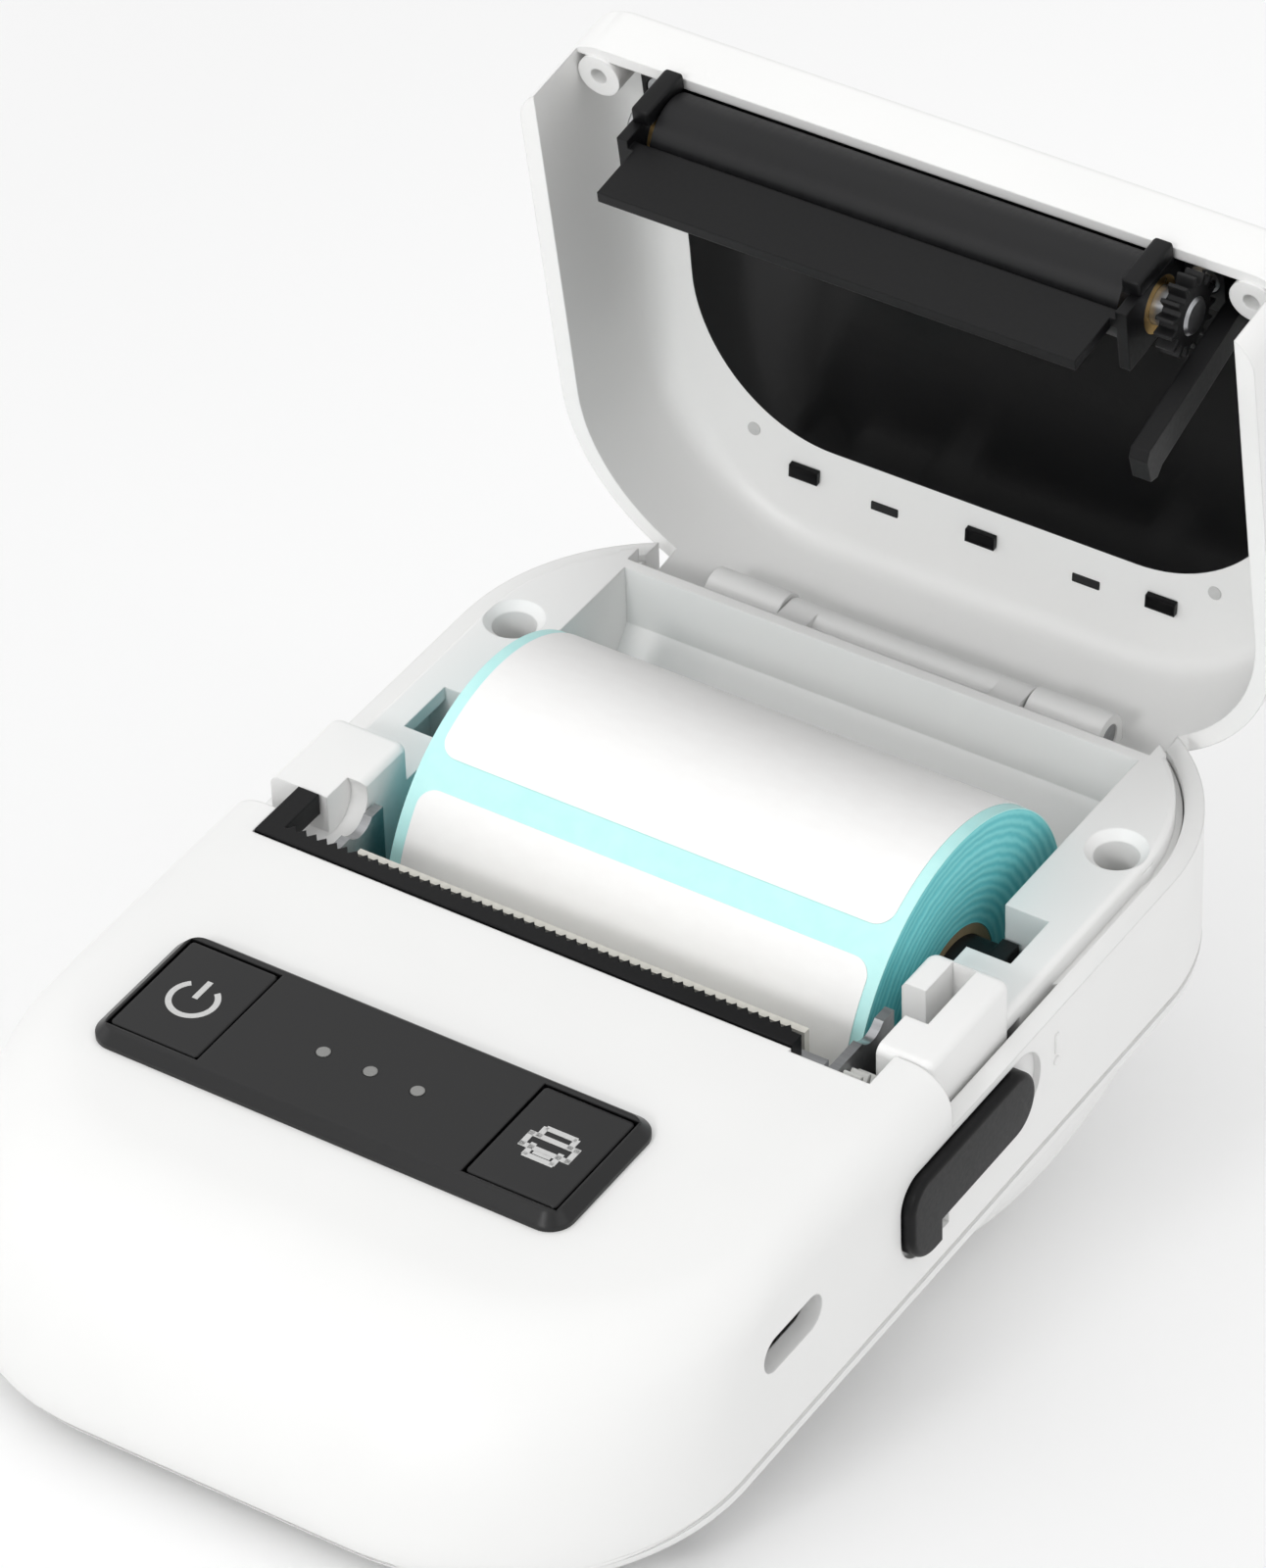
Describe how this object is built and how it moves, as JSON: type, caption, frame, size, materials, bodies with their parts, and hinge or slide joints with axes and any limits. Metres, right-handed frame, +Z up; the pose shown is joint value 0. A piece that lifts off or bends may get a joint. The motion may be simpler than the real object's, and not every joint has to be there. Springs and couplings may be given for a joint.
{
  "type": "thermal label printer",
  "caption": "Portable thermal label printer with its hinged lid open, a label roll in its bin, a black key panel, a tear bar and a side release lever.",
  "frame": {"origin": "middle of the underside of the whole printer with its lid open, on the surface that it stands on", "axes": "+X to the right of someone facing the front, +Y to the back, +Z up"},
  "size_m": [0.0836, 0.1356, 0.0991],
  "materials": {
    "white_abs": "satin moulded",
    "black_plastic": "satin moulded",
    "black_gloss": "polished",
    "light_pipe": "clear moulded",
    "switch_black": "moulded",
    "circuit_board": "solder mask",
    "steel": "rolled",
    "aluminium": "extruded",
    "brass": "turned",
    "white_nylon": "moulded",
    "battery_wrap": "shrink wrap",
    "flex_amber": "film",
    "ceramic": "ground",
    "label_paper": "coated",
    "card": "plain",
    "rubber": "ground"
  },
  "bodies": {
    "housing": {"upper_housing": "white_abs", "lower_housing": "white_abs", "inner_frame": "white_abs", "tear_bar": "black_plastic", "panel_bezel": "black_gloss", "indicator_lights": "light_pipe", "status_leds": "light_pipe", "power_switch": "switch_black", "feed_switch": "switch_black", "main_pcb": "circuit_board", "pcb_screws": "steel", "usb_c_socket": "steel", "battery": "battery_wrap", "battery_lead": "switch_black", "head_flex": "flex_amber", "print_frame": "steel", "gear_plate": "steel", "left_side_plate": "steel", "head_pivot_pins": "steel", "head_springs": "steel", "stepper_motor": "steel", "idler_pin": "steel", "paper_sensor": "switch_black", "lever_spring": "steel", "right_guide_spring": "steel", "left_guide_spring": "steel", "hinge_pin": "steel", "frame_screws": "steel", "housing_screws": "steel", "front_feet": "rubber", "rear_feet": "rubber"},
    "lid": {"lid_shell": "white_abs", "lid_window": "black_gloss", "roller_bracket": "black_plastic", "right_bushing": "brass", "left_bushing": "brass", "bracket_screws": "steel", "latch_arm": "black_plastic"},
    "platen": {"platen_shaft": "steel", "platen_rubber": "rubber", "platen_gear": "switch_black"},
    "idler": {"idler_gear": "white_nylon"},
    "pinion": {"motor_pinion": "brass"},
    "power_key": {"power_button": "black_gloss"},
    "feed_key": {"feed_button": "black_gloss"},
    "lever": {"release_lever": "black_plastic", "lever_catch": "black_plastic"},
    "guide_right": {"right_roll_guide": "switch_black"},
    "guide_left": {"left_roll_guide": "switch_black"},
    "roll": {"label_roll": "label_paper", "roll_core": "card"},
    "print_head": {"head_heatsink": "aluminium", "head_ceramic": "ceramic"}
  },
  "joints": [
    {"name": "lid_hinge", "type": "hinge", "parent": "housing", "child": "lid", "pos_m": [-0.00059, 0.05284, 0.03729], "axis": [1, 0, 0], "range_deg": [0, 81.8]},
    {"name": "platen_spin", "type": "hinge", "parent": "lid", "child": "platen", "pos_m": [-0.00059, 0.04218, 0.09213], "axis": [1, 0, 0], "continuous": true},
    {"name": "idler_spin", "type": "hinge", "parent": "housing", "child": "idler", "pos_m": [-0.00059, -0.01027, 0.0244], "axis": [1, 0, 0], "continuous": true},
    {"name": "pinion_spin", "type": "hinge", "parent": "housing", "child": "pinion", "pos_m": [-0.00059, -0.0194, 0.0192], "axis": [1, 0, 0], "continuous": true},
    {"name": "power_press", "type": "slide", "parent": "housing", "child": "power_key", "axis": [0, 0.1773, -0.9842], "range_m": [0, 0.0006], "stiffness_N_per_m": 1500, "springref_m": -0.0003},
    {"name": "feed_press", "type": "slide", "parent": "housing", "child": "feed_key", "axis": [0, 0.1773, -0.9842], "range_m": [0, 0.0006], "stiffness_N_per_m": 1500, "springref_m": -0.0003},
    {"name": "lever_slide", "type": "slide", "parent": "housing", "child": "lever", "axis": [0, 0.9842, 0.1773], "range_m": [0, 0.0024], "stiffness_N_per_m": 250, "springref_m": -0.002, "deforming": ["lever_spring"]},
    {"name": "guide_right_slide", "type": "slide", "parent": "housing", "child": "guide_right", "axis": [1, 0, 0], "range_m": [0, 0.0026], "stiffness_N_per_m": 300, "springref_m": -0.002, "deforming": ["right_guide_spring"]},
    {"name": "guide_left_slide", "type": "slide", "parent": "housing", "child": "guide_left", "axis": [-1, 0, 0], "range_m": [0, 0.0026], "stiffness_N_per_m": 300, "springref_m": -0.002, "deforming": ["left_guide_spring"]},
    {"name": "roll_spin", "type": "hinge", "parent": "housing", "child": "roll", "pos_m": [-0.00059, 0.0193, 0.02495], "axis": [1, 0, 0], "continuous": true},
    {"name": "head_tilt", "type": "hinge", "parent": "housing", "child": "print_head", "pos_m": [-0.00059, -0.00679, 0.01974], "axis": [1, 0, 0], "range_deg": [0, 1.2], "stiffness_Nm_per_rad": 1, "springref_deg": -1.72, "deforming": ["head_springs"]}
  ],
  "couplings": [
    {"joint": "pinion_spin", "follows": "idler_spin", "ratio": -2.5}
  ]
}
